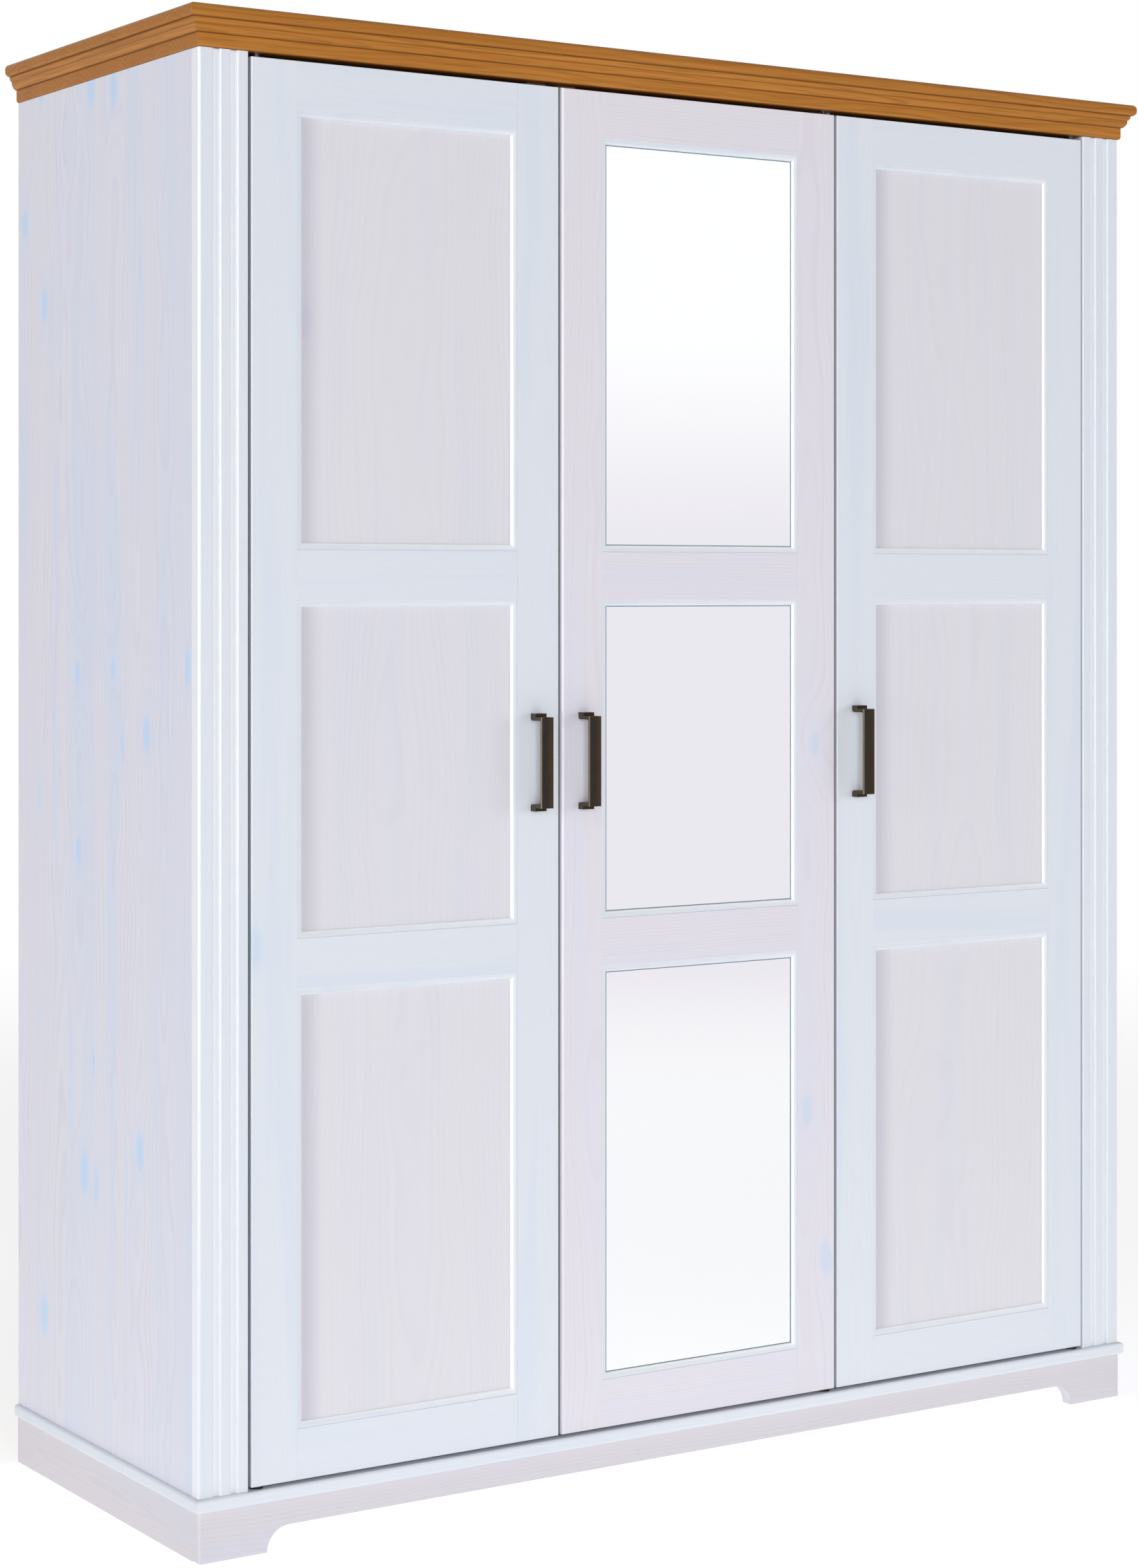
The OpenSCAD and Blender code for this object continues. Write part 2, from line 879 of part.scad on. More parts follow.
module handle_screws(i) {
    color(steel)
        for (s = [-1, 1])
            translate([handle_x(i), 0, handle_z + s * handle_pitch / 2]) {
                translate([0, door_y1, 0])
                    rotate([90, 0, 0])
                        cylinder(r = screw_r, h = door_t + screw_in_handle, $fn = 24);
                translate([0, door_y1 + screw_head_h, 0])
                    rotate([90, 0, 0])
                        cylinder(r = screw_head_r, h = screw_head_h, $fn = 24);
            }
}

module pivots(i) {
    color(bronze)
        translate([pivot_x(i), pivot_y, 0]) {
            translate([0, 0, z_base - pin_in_bush])
                cylinder(r = pin_r, h = pin_in_bush + low_gap + pin_in_door);
            translate([0, 0, door_z0 - collar_t])
                cylinder(r = bush_r, h = collar_t);
            translate([0, 0, door_z1 - pin_in_door])
                cylinder(r = pin_r, h = pin_in_door + top_gap + pin_in_bush);
        }
}

// Steel plate on the back of the left or middle door, opposite its catch
module strike(i) {
    x = strip_x - free_side(i) * catch_offset;
    color(steel)
        box([x - catch_w / 2, door_y1, door_z1 - catch_h],
            [x + catch_w / 2, door_y1 + strike_t, door_z1 - strike_edge]);
}

// The right door's plate, opposite the catch on the partition
module right_strike() {
    x = partition_x + board_t / 2;
    color(steel)
        box([x + strike_edge, door_y1, right_catch_z - catch_w / 2],
            [x + catch_h, door_y1 + strike_t, right_catch_z + catch_w / 2]);
}

side_panel(-1);  // side_left
side_panel(1);  // side_right
pilaster(-1);  // pilaster_left
pilaster(1);  // pilaster_right
corner_posts();
base_board();
plinth_front();
plinth_side(-1);  // plinth_left
plinth_side(1);  // plinth_right
plinth_back();
plinth_blocks();
floor_glides();
carcass_top();
crown_moulding_front();
crown_moulding_side(-1);  // crown_moulding_left
crown_moulding_side(1);  // crown_moulding_right
crown_spacers();
top_board();
partition();
hat_shelf();
clothes_rail();
rail_sockets();
shelves();
shelf_pins();
back_sheet(0);  // back_left
back_sheet(1);  // back_middle
back_sheet(2);  // back_right
back_joint_strip();
back_nails();
dowels();
magnetic_catches();
pivot_bushes();
stile(0, -1, paint);  // left_door_stile_left
stile(0, 1, paint);  // left_door_stile_right
rails(0, paint);  // left_door_rails
panels(0);  // left_door_panels
mouldings(0, paint);  // left_door_mouldings
handle(0);  // left_door_handle
handle_screws(0);  // left_door_handle_screws
pivots(0);  // left_door_pivots
strike(0);  // left_door_strike
stile(1, -1, lilac);  // middle_door_stile_left
stile(1, 1, lilac);  // middle_door_stile_right
rails(1, lilac);  // middle_door_rails
mirror_backs(1);  // middle_door_backs
mirrors(1);  // middle_door_mirrors
mouldings(1, paint);  // middle_door_mouldings
handle(1);  // middle_door_handle
handle_screws(1);  // middle_door_handle_screws
pivots(1);  // middle_door_pivots
strike(1);  // middle_door_strike
stile(2, -1, paint);  // right_door_stile_left
stile(2, 1, paint);  // right_door_stile_right
rails(2, paint);  // right_door_rails
panels(2);  // right_door_panels
mouldings(2, paint);  // right_door_mouldings
handle(2);  // right_door_handle
handle_screws(2);  // right_door_handle_screws
pivots(2);  // right_door_pivots
right_strike();  // right_door_strike
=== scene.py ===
"""Looks of the three-door wardrobe: whitewashed pine, honey-stained crown, bronze handles and mirrors."""
import math

import bmesh
import bpy
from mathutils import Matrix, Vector


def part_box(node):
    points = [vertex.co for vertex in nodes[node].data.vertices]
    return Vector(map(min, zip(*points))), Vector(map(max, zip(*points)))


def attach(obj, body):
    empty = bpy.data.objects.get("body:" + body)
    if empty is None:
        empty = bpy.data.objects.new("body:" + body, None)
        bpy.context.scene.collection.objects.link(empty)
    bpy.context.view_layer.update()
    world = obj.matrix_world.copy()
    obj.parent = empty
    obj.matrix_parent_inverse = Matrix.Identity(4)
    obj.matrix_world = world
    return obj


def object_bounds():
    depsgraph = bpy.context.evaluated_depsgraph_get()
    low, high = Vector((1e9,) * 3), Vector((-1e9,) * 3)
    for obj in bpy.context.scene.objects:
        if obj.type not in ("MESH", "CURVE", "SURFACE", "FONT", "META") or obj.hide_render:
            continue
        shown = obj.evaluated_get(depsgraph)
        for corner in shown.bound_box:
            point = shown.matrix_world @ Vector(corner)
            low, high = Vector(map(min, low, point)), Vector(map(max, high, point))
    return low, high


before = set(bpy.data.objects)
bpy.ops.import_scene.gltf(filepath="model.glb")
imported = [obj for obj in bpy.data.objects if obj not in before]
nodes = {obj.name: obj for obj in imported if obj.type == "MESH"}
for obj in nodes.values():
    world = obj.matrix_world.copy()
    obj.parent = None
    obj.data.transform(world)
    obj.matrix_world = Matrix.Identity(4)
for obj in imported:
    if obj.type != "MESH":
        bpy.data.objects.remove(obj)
cad_low, cad_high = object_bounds()
scene = bpy.context.scene
MM = 0.001
X, Y, Z = 0, 1, 2

# ---------- Camera ----------

# The camera stands to the left of the middle, a little above half height, and looks level
VIEW_TURN = math.radians(32.96)
EYE = Vector((-2.6211, -3.9704, 1.2523))
LENS = 73.4
SENSOR = 36.0
LENS_SHIFT = -0.125


def make_camera():
    data = bpy.data.cameras.new("camera")
    data.lens = LENS
    data.sensor_width = SENSOR
    data.shift_y = LENS_SHIFT
    camera = bpy.data.objects.new("camera", data)
    camera.location = EYE
    camera.rotation_euler = (math.pi / 2, 0, -VIEW_TURN)
    scene.collection.objects.link(camera)
    scene.camera = camera


make_camera()
scene.view_settings.view_transform = "Standard"

# ---------- Shader building ----------


class Value:
    """A number inside a material. Arithmetic on it adds math nodes."""

    def __init__(self, graph, socket):
        self.graph = graph
        self.socket = socket

    def calc(self, operation, *others):
        node = self.graph.add("ShaderNodeMath", operation=operation)
        for i, item in enumerate((self, *others)):
            self.graph.feed(node.inputs[i], item)
        return Value(self.graph, node.outputs[0])

    def __add__(self, other):
        return self.calc("ADD", other)

    def __radd__(self, other):
        return self.calc("ADD", other)

    def __sub__(self, other):
        return self.calc("SUBTRACT", other)

    def __rsub__(self, other):
        return (self * -1.0) + other

    def __mul__(self, other):
        return self.calc("MULTIPLY", other)

    def __truediv__(self, other):
        return self.calc("DIVIDE", other)

    def above(self, limit):
        return self.calc("GREATER_THAN", limit)

    def whole(self):
        return self.calc("FLOOR")

    def part(self):
        return self.calc("FRACT")

    def root(self):
        return self.calc("SQRT")

    def least(self, other):
        return self.calc("MINIMUM", other)

    def most(self, other):
        return self.calc("MAXIMUM", other)

    def bell(self, width):
        """1 where this is 0, falling to almost 0 at twice the width."""
        away = self / width
        return (away * away * -1.0).calc("EXPONENT")

    def fade(self, start, end, low=0.0, high=1.0):
        """Goes smoothly from low to high as this goes from start to end."""
        node = self.graph.add("ShaderNodeMapRange", interpolation_type="SMOOTHSTEP")
        for i, item in enumerate((self, start, end, low, high)):
            self.graph.feed(node.inputs[i], item)
        return Value(self.graph, node.outputs[0])


def scaled(point, rates):
    return [axis * rate for axis, rate in zip(point, rates)]


class Graph:
    """The shader nodes of one material or of the world."""

    def __init__(self, owner):
        owner.use_nodes = True
        self.tree = owner.node_tree
        self.tree.nodes.clear()

    def add(self, kind, **settings):
        node = self.tree.nodes.new(kind)
        for key, item in settings.items():
            setattr(node, key, item)
        return node

    def feed(self, socket, item):
        if isinstance(item, Value):
            item = item.socket
        if isinstance(item, bpy.types.NodeSocket):
            self.tree.links.new(item, socket)
        else:
            socket.default_value = item

    def coordinates(self, kind):
        node = self.add("ShaderNodeTexCoord")
        return self.split(node.outputs[kind])

    def point(self):
        """The x, y and z of the shaded point, in metres, in the piece's own frame."""
        return self.coordinates("Object")

    def facing(self):
        """The x, y and z of the surface normal, in the piece's own frame."""
        return self.coordinates("Normal")

    def split(self, socket):
        node = self.add("ShaderNodeSeparateXYZ")
        self.tree.links.new(socket, node.inputs[0])
        return [Value(self, out) for out in node.outputs]

    def vector(self, x, y, z):
        node = self.add("ShaderNodeCombineXYZ")
        for socket, item in zip(node.inputs, (x, y, z)):
            self.feed(socket, item)
        return node.outputs[0]

    def noise(self, x, y, z, detail=2.0, roughness=0.5):
        """Soft noise from 0 to 1 about 0.5, one blob per unit."""
        node = self.add("ShaderNodeTexNoise")
        self.feed(node.inputs["Vector"], self.vector(x, y, z))
        node.inputs["Scale"].default_value = 1.0
        node.inputs["Detail"].default_value = detail
        node.inputs["Roughness"].default_value = roughness
        return Value(self, node.outputs[0])

    def specks(self, point, *rates, detail=2.0, roughness=0.5):
        """Noise over the point, in blobs per metre: one rate for all three axes, or one for each."""
        rates = rates * 3 if len(rates) == 1 else rates
        return self.noise(*scaled(point, rates), detail=detail, roughness=roughness)

    def dice(self, x, y, z):
        """Three random numbers that depend on x, y and z only."""
        node = self.add("ShaderNodeTexWhiteNoise", noise_dimensions="3D")
        self.feed(node.inputs["Vector"], self.vector(x, y, z))
        return self.split(node.outputs["Color"])

    def cells(self, x, y):
        """Distance to the nearest of scattered points, and three random numbers for that point."""
        node = self.add("ShaderNodeTexVoronoi", voronoi_dimensions="2D")
        self.feed(node.inputs["Vector"], self.vector(x, y, 0.0))
        node.inputs["Scale"].default_value = 1.0
        return Value(self, node.outputs["Distance"]), self.split(node.outputs["Color"])

    def blend(self, share, first, second):
        """Colour first where share is 0, second where it is 1."""
        node = self.add("ShaderNodeMix", data_type="RGBA")
        for name, item in (("Factor_Float", share), ("A_Color", first), ("B_Color", second)):
            socket = next(s for s in node.inputs if s.identifier == name)
            self.feed(socket, (*item, 1.0) if isinstance(item, tuple) else item)
        return next(s for s in node.outputs if s.identifier == "Result_Color")

    def bump(self, height, depth):
        """Surface relief: height from 0 to 1 over depth metres."""
        node = self.add("ShaderNodeBump")
        node.inputs["Strength"].default_value = 1.0
        node.inputs["Distance"].default_value = depth
        self.feed(node.inputs["Height"], height)
        return node.outputs[0]

    def finish(self, color, roughness, normal=None, **fixed):
        """A Principled surface. fixed are constant settings, with _ for spaces."""
        shader = self.add("ShaderNodeBsdfPrincipled")
        self.feed(shader.inputs["Base Color"], color)
        self.feed(shader.inputs["Roughness"], roughness)
        if normal is not None:
            self.tree.links.new(normal, shader.inputs["Normal"])
        for key, item in fixed.items():
            shader.inputs[key.replace("_", " ")].default_value = item
        self.show(shader)

    def show(self, shader, output="ShaderNodeOutputMaterial"):
        node = self.add(output)
        self.tree.links.new(shader.outputs[0], node.inputs["Surface"])


def new_material(name):
    material = bpy.data.materials.new(name)
    return material, Graph(material)


# ---------- Wood ----------


class Timber:
    """How the boards of one node lie: grain axis, axis across the boards, board width, rows of pieces.

    ring is the width of a growth ring and pith the greatest distance of the tree's middle, both in mm.
    knots is the share of places for a knot that have one, and wave says how far the grain wanders.
    """

    def __init__(self, grain, across, width=None, cuts=(), ring=4.5, pith=72, knots=0.0, wave=1.0, seed=0.0):
        self.grain = grain
        self.across = across
        self.depth = X + Y + Z - grain - across
        self.width = width
        self.cuts = cuts
        self.ring = ring * MM
        self.pith = pith * MM
        self.knots = knots
        self.wave = wave
        self.seed = seed


# Which random table a board, its place in the tree and its rings are drawn from
BOARD_TABLE = 3.1
TREE_TABLE = 7.7
RING_TABLE = 1.3
# How far apart neighbouring boards and rows lie in the noise, and how far each is moved at most
BOARD_STEP = 5.3
ROW_STEP = 3.7
LANE_SPREAD = 40.0
# The pith of the tree: greatest slant, spread to the side, and least share of its greatest distance
PITH_SLANT = 0.024
PITH_SPREAD = 90 * MM
PITH_LEAST = 0.3
# How far the grain wanders, and the blobs per metre of its two noises across, through and along
WANDER = 50 * MM
SWAY_RATES = (5.0, 4.0, 1.5)
SWELL_RATES = (7.0, 4.0, 2.3)
# Places for a knot per metre, across and along the grain
KNOT_RATES = (8.0, 3.4)
# Least size of a knot and what luck adds, both as shares of the distance between places
KNOT_LEAST = 0.045
KNOT_MORE = 0.055
# Where a knot's rim begins and ends, as shares of its size
KNOT_RIM = (1.45, 0.55)
# The rings bulge round a knot, and the eye is the stained wood about it: their reach, and the bulge
BULGE_REACH = 0.24
BULGE = 14 * MM
EYE_REACH = 0.19
# Where the late wood of a ring begins and is full, where it ends, and the least strength of a ring
LATE_START = (0.35, 0.86)
LATE_END = (1.0, 0.9)
RING_LEAST = 0.3
# Blobs per metre of fibres, pores and streaks across, through and along the grain
FIBRE_RATES = (700.0, 700.0, 9.0)
PORE_RATES = (520.0, 520.0, 11.0)
STREAK_RATES = (24.0, 20.0, 1.3)


def grow(graph, timber, low, high):
    """The timber's rings, fibres, pores, streaks and knots, from 0 to 1, and its board's tone."""
    point = graph.point()
    run = point[timber.grain]
    middle = (low + high) / 2
    side = point[timber.across] - middle[timber.across]
    deep = point[timber.depth] - middle[timber.depth]
    row = sum((point[Z].above(cut) for cut in timber.cuts), start=timber.seed)
    if timber.width:
        count = side / timber.width + 0.5 + timber.seed
        board = count.whole()
        place = (count.part() - 0.5) * timber.width
    else:
        board = side * 0.0
        place = side
    first = graph.dice(board, row, BOARD_TABLE)
    second = graph.dice(board, row, TREE_TABLE)
    # The pith runs beside and behind the board, a little slanted
    slant = (first[0] - 0.5) * PITH_SLANT
    pith_side = (first[1] - 0.5) * PITH_SPREAD
    pith_deep = second[0] * (timber.pith * (1 - PITH_LEAST)) + timber.pith * PITH_LEAST
    lane = board * BOARD_STEP + row * ROW_STEP + second[1] * LANE_SPREAD
    across, through, along = scaled((side, deep, run), SWAY_RATES)
    sway = (graph.noise(across + lane, through, along) - 0.5) * (WANDER * timber.wave)
    across, through, along = scaled((side, deep, run), SWELL_RATES)
    swell = (graph.noise(across, lane + through, along) - 0.5) * (WANDER * timber.wave)
    aside = place - pith_side + sway
    away = deep + pith_deep + slant * run + swell
    radius = (aside * aside + away * away).root()
    # The rings flow round the knots
    across, along = scaled((side, run), KNOT_RATES)
    distance, luck = graph.cells(across + lane, along + lane)
    present = luck[0].above(1.0 - timber.knots)
    size = luck[1] * KNOT_MORE + KNOT_LEAST
    knot = distance.fade(size * KNOT_RIM[0], size * KNOT_RIM[1]) * present
    radius = radius + distance.bell(BULGE_REACH) * present * BULGE
    turn = radius / timber.ring
    strength = graph.dice(turn.whole(), board, RING_TABLE)[0] * (1 - RING_LEAST) + RING_LEAST
    late = turn.part().fade(*LATE_START) * turn.part().fade(*LATE_END) * strength
    across, through, along = scaled((side + sway, deep, run), STREAK_RATES)
    return {
        "late": late,
        "fibre": graph.specks((side, deep, run), *FIBRE_RATES, detail=1.0),
        "pore": graph.specks((side, deep, run), *PORE_RATES),
        "streak": graph.noise(across + lane, through, along, detail=3.0),
        "knot": knot,
        "eye": distance.bell(EYE_REACH) * present,
        "tone": first[2],
    }


def grain_relief(graph, grown, depth, fibre=0.5):
    """Relief of fibres and late rings. fibre is the fibres' share of it."""
    return graph.bump(grown["fibre"] * fibre + grown["late"] * (1 - fibre), depth)


# Paints, as linear colours: the wood's tone, its late rings, its bluish streaks and its knots.
# line, band and board say how strongly rings, streaks and the difference between boards show.
PAINTED = {
    "side": {
        "light": (0.725, 0.708, 0.772), "dark": (0.618, 0.615, 0.712),
        "streak": (0.635, 0.690, 0.820), "knot": (0.500, 0.665, 0.880),
        "line": 0.62, "band": 0.85, "board": 0.45,
    },
    "panel": {
        "light": (0.704, 0.688, 0.735), "dark": (0.628, 0.600, 0.678),
        "streak": (0.655, 0.668, 0.745), "knot": (0.600, 0.600, 0.690),
        "line": 0.28, "band": 0.55, "board": 0.15,
    },
    "rose": {
        "light": (0.728, 0.695, 0.746), "dark": (0.680, 0.630, 0.700),
        "streak": (0.690, 0.700, 0.800), "knot": (0.600, 0.665, 0.790),
        "line": 0.60, "band": 0.75, "board": 0.30,
    },
    "white": {
        "light": (0.712, 0.738, 0.795), "dark": (0.665, 0.690, 0.760),
        "streak": (0.650, 0.710, 0.800), "knot": (0.600, 0.680, 0.790),
        "line": 0.45, "band": 0.70, "board": 0.30,
    },
    "plinth": {
        "light": (0.645, 0.605, 0.640), "dark": (0.580, 0.540, 0.600),
        "streak": (0.595, 0.605, 0.690), "knot": (0.480, 0.580, 0.740),
        "line": 0.60, "band": 0.70, "board": 0.20,
    },
}
# How much of the streak colour a knot's eye has, and how much of its own colour a knot has
EYE_SHARE = 0.65
KNOT_SHARE = 0.90
PAINT_RELIEF = 0.10 * MM
# Painted light: the pilasters' flutes are painted paler between these depths, lifting the shade in them
FLUTE_DEPTHS = (0.6 * MM, 2.5 * MM)
FLUTE_PAINTED_LIGHT = (0.840, 0.855, 0.900)
FLUTE_LIGHT_SHARE = 0.8
# Painted highlight: the beads at the right of each panel and below it, which face the light, are painted
# white
BEAD_PAINTED_HIGHLIGHT = (0.860, 0.868, 0.885)
# Painted shade: the doors' upright edges are painted grey behind their rounding, as the gaps between the
# doors are shaded
EDGE_DEPTHS = (3.5 * MM, 7.0 * MM)
EDGE_PAINTED_SHADE = (0.380, 0.410, 0.385)
# Painted shadow: each panel is a little darker in a soft band beside its left bead, where the frame shades
# it. The stile and the bead hide the first stretch of the panel, and the band fades out over its width
PANEL_HIDDEN = 18 * MM
BAND_WIDTH = 34 * MM
BAND_PAINTED_SHADOW = (0.500, 0.480, 0.550)
BAND_SHADOW_SHARE = 0.55


def paint_light_and_shade(graph, name, color, low):
    """Paints light and shade into the colour on some kinds of piece: light in the pilasters' flutes,
    highlights on beads, shade on the doors' upright edges and a shadow beside each panel's left bead.
    """
    x, y, _ = graph.point()
    across, _, upward = graph.facing()
    sunk = y - low.y
    if "pilaster" in name:
        # Painted light in the flutes, paler the deeper they go
        return graph.blend(sunk.fade(*FLUTE_DEPTHS) * FLUTE_LIGHT_SHARE, color, FLUTE_PAINTED_LIGHT)
    if "mouldings" in name:
        # Painted highlight on the bead faces turned to the left and upwards
        lit = across.fade(0.0, -0.5).most(upward.fade(0.0, 0.5))
        return graph.blend(lit, color, BEAD_PAINTED_HIGHLIGHT)
    if "stile" in name:
        # Painted shade on the upright edges inside the door gaps
        edge = (across * across).fade(0.8, 0.98)
        return graph.blend(edge * sunk.fade(*EDGE_DEPTHS), color, EDGE_PAINTED_SHADE)
    if "panels" in name:
        # Painted shadow beside the panel's left bead
        beside = x - (low.x + PANEL_HIDDEN)
        return graph.blend(beside.fade(BAND_WIDTH, 0.0) * BAND_SHADOW_SHARE, color, BAND_PAINTED_SHADOW)
    return color


def painted_wood(name, look, timber, low, high):
    """Pine under a thin translucent paint: faint rings, bluish streaks and pale knots."""
    material, graph = new_material(name)
    tones = PAINTED[look]
    grown = grow(graph, timber, low, high)
    color = graph.blend(grown["streak"].fade(0.47, 0.70) * tones["band"], tones["light"], tones["streak"])
    color = graph.blend(grown["tone"] * tones["board"], color, tones["streak"])
    color = graph.blend(grown["late"] * tones["line"], color, tones["dark"])
    color = graph.blend(grown["eye"] * EYE_SHARE, color, tones["streak"])
    color = graph.blend(grown["knot"] * KNOT_SHARE, color, tones["knot"])
    # Painted light and shade on some kinds of piece
    color = paint_light_and_shade(graph, name, color, low)
    rough = grown["fibre"] * 0.12 + 0.26
    graph.finish(color, rough, grain_relief(graph, grown, PAINT_RELIEF))
    return material


# The stain's linear colours: the wood, its darker streaks, late rings, pores, darker boards and end grain,
# and the dark lines where boards meet, which are stain that has collected there and painted shade
HONEY_LIGHT = (0.500, 0.208, 0.038)
HONEY_STREAK = (0.400, 0.150, 0.023)
HONEY_LATE = (0.225, 0.078, 0.011)
HONEY_PORE = (0.210, 0.075, 0.010)
HONEY_BOARD = (0.360, 0.135, 0.020)
HONEY_END = (0.300, 0.100, 0.004)
HONEY_STAIN_AND_SHADE = (0.100, 0.032, 0.006)
# How strongly pores, end grain and the dark lines of collected stain and painted shade show, and the rings
# along the grain and on the ends
PORE_SHARE = 0.50
END_SHARE = 0.50
STAIN_AND_SHADE_SHARE = 0.62
LATE_SHARES = (0.50, 0.60)
# Half widths of the dark lines along a board's edges and in a moulding's fillet
EDGE_LINE = 0.8 * MM
FILLET_LINE = 0.6 * MM
# Height above the moulding's foot of the fillet between its two rounds
FILLET_RISE = 10.4 * MM
VARNISH_RELIEF = 0.08 * MM


def honey_wood(name, timber, low, high):
    """Stained and varnished pine. Dark lines where boards meet and in the moulding's fillet are stain that
    has collected there and painted shade.
    """
    material, graph = new_material(name)
    grown = grow(graph, timber, low, high)
    height = graph.point()[Z]
    ends = graph.facing()[timber.grain]
    end = (ends * ends).fade(0.3, 0.8)
    color = graph.blend(grown["streak"].fade(0.30, 0.75), HONEY_LIGHT, HONEY_STREAK)
    color = graph.blend(grown["late"] * end.fade(0.0, 1.0, *LATE_SHARES), color, HONEY_LATE)
    pores = grown["pore"].fade(0.50, 0.70) * (1.0 - end)
    color = graph.blend(pores * PORE_SHARE, color, HONEY_PORE)
    color = graph.blend((grown["tone"] - 0.5) * 0.5 + 0.2, color, HONEY_BOARD)
    color = graph.blend(end * END_SHARE, color, HONEY_END)
    # Dark lines where boards meet and in the fillet: collected stain and painted shade
    stain_and_shade_lines = (height - low.z).bell(EDGE_LINE) + (height - high.z).bell(EDGE_LINE)
    if "moulding" in name:
        stain_and_shade_lines = stain_and_shade_lines + (height - (low.z + FILLET_RISE)).bell(FILLET_LINE)
    color = graph.blend(stain_and_shade_lines.least(1.0) * STAIN_AND_SHADE_SHARE, color, HONEY_STAIN_AND_SHADE)
    rough = grown["fibre"] * 0.14 + 0.34
    graph.finish(color, rough, grain_relief(graph, grown, VARNISH_RELIEF), Specular_IOR_Level=0.15)
    return material


def raw_wood(name, timber, low, high):
    """Planed pine without a finish."""
    material, graph = new_material(name)
    grown = grow(graph, timber, low, high)
    color = graph.blend(grown["streak"], (0.80, 0.63, 0.41), (0.70, 0.52, 0.32))
    color = graph.blend(grown["late"] * 0.6, color, (0.52, 0.31, 0.14))
    color = graph.blend(grown["knot"] * 0.9, color, (0.22, 0.10, 0.04))
    rough = grown["fibre"] * 0.2 + 0.55
    graph.finish(color, rough, grain_relief(graph, grown, 0.2 * MM, fibre=0.6))
    return material


# ---------- Other finishes ----------

# Linear colours: the raw sheet, its darker flecks and its clouds, and two whites of the lacquer
FIBREBOARD_BROWNS = (0.40, 0.25, 0.13), (0.26, 0.15, 0.075), (0.33, 0.21, 0.12)
LACQUER_WHITES = (0.76, 0.77, 0.79), (0.72, 0.73, 0.76)


def hardboard(name, lacquered=False):
    """Pressed fibre sheet: white lacquer in front, raw and brown at the back unless lacquered there too."""
    material, graph = new_material(name)
    point = graph.point()
    fleck = graph.specks(point, 900.0, detail=4.0, roughness=0.7)
    cloud = graph.specks(point, 9.0, detail=3.0)
    pale, dark, cloudy = FIBREBOARD_BROWNS
    raw = graph.blend(fleck.fade(0.35, 0.7), pale, dark)
    raw = graph.blend(cloud.fade(0.4, 0.7) * 0.4, raw, cloudy)
    white = graph.blend(cloud.fade(0.3, 0.8), *LACQUER_WHITES)
    behind = graph.facing()[Y].above(0.5)
    color = white if lacquered else graph.blend(behind, white, raw)
    graph.finish(color, fleck * 0.2 + 0.5, graph.bump(fleck, 0.15 * MM))
    return material


def mirror_glass():
    """Silvered glass with a breath of haze."""
    material, graph = new_material("mirror")
    haze = graph.specks(graph.point(), 6.0, detail=4.0)
    color = graph.blend(haze, (0.955, 0.96, 0.965), (0.945, 0.95, 0.96))
    graph.finish(color, haze.fade(0.5, 0.9, 0.0, 0.03), Metallic=1.0)
    return material


def gap_shade_paint():
    """Painted shade: dark greenish grey for the strip that stands for the shaded gap round the mirror glass.
    """
    material, graph = new_material("gap_shade_paint")
    strip_speck = graph.specks(graph.point(), 1500.0)
    color = graph.blend(strip_speck, (0.20, 0.27, 0.33), (0.12, 0.17, 0.21))
    graph.finish(color, strip_speck * 0.3 + 0.15)
    return material


# Linear colours of the handles: their skin in front and at the sides, and the brass that shows through
BRONZE_DARK = (0.023, 0.022, 0.019)
BRONZE_BROWN = (0.043, 0.026, 0.012)
BRONZE_SIDE = (0.085, 0.069, 0.044)
BRASS_TONES = (0.46, 0.35, 0.20), (0.24, 0.165, 0.085)
# Thickness of a handle's front plate, and half the width of the brass band along its sides
PLATE = 5 * MM
BRASS_BAND = 1.2 * MM


def bronze(worn, front):
    """Antique bronze: dark in front, paler on its sides, and rubbed to brass along the sides of its plate.

    front is the y of the plate's face. worn is for the eased edges, where more of the brass shows.
    """
    material, graph = new_material("bronze_worn" if worn else "bronze")
    point = graph.point()
    across = graph.facing()[X]
    side = (across * across).fade(0.5, 0.9)
    grit = graph.specks(point, 900.0, 900.0, 700.0, detail=3.0, roughness=0.65)
    cloud = graph.specks(point, 130.0, 130.0, 45.0, detail=3.0)
    brown = cloud.fade(0.40, 0.75) * 0.5 + across.fade(0.22, -0.22) * 0.6
    skin = graph.blend(brown.least(1.0), BRONZE_DARK, BRONZE_BROWN)
    skin = graph.blend(side * 0.60, skin, BRONZE_SIDE)
    rubbed = graph.blend(grit.fade(0.35, 0.70), *BRASS_TONES)
    middle = (point[Y] - (front + PLATE / 2)).bell(BRASS_BAND)
    share = side * middle + grit.fade(0.60, 0.72) * 0.28
    if worn:
        share = share + grit.fade(0.45, 0.75, 0.05, 0.45)
    color = graph.blend(share.least(1.0), skin, rubbed)
    rough = grit.fade(0.3, 0.8, 0.34, 0.52)
    graph.finish(color, rough, graph.bump(grit, 0.10 * MM), Metallic=0.85)
    return material


def steel():
    """Zinc-plated steel with fine scratches."""
    material, graph = new_material("steel")
    point = graph.point()
    brushed = graph.specks(point, 60.0, 2500.0, 2500.0)
    cloud = graph.specks(point, 40.0)
    color = graph.blend(cloud, (0.60, 0.61, 0.63), (0.50, 0.51, 0.53))
    graph.finish(color, brushed * 0.2 + 0.22, graph.bump(brushed, 0.03 * MM), Metallic=1.0)
    return material


def plastic(name, light, dark, rough):
    """Moulded plastic with a fine texture."""
    material, graph = new_material(name)
    point = graph.point()
    pebble = graph.specks(point, 1200.0)
    cloud = graph.specks(point, 20.0)
    graph.finish(graph.blend(cloud, light, dark), pebble * 0.15 + rough, graph.bump(pebble, 0.05 * MM))
    return material


# ---------- Surfaces of the CAD pieces ----------


